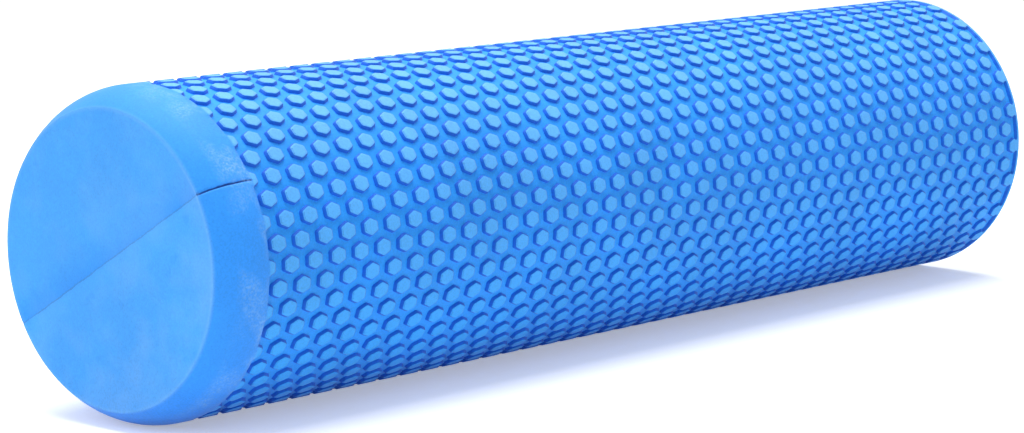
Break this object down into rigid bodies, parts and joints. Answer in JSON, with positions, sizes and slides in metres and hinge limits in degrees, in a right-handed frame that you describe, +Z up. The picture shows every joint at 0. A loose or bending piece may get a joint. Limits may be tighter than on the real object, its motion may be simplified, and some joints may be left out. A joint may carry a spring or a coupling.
{
  "type": "foam roller",
  "caption": "Solid foam massage roller with raised hexagonal dots, one rounded and one square-cut end, made as two glued half cylinders.",
  "frame": {"origin": "on the floor, under the middle of the roller's length", "axes": "+X along the roller's axis, +Z up, -Y towards the side on which the glue line is raised"},
  "size_m": [0.6, 0.15, 0.15],
  "materials": {
    "foam": "matt moulded closed-cell foam, blue",
    "glue": "satin contact adhesive, darker blue"
  },
  "bodies": {
    "root": {"upper_half": "foam", "lower_half": "foam", "glue_film": "glue"}
  },
  "joints": []
}
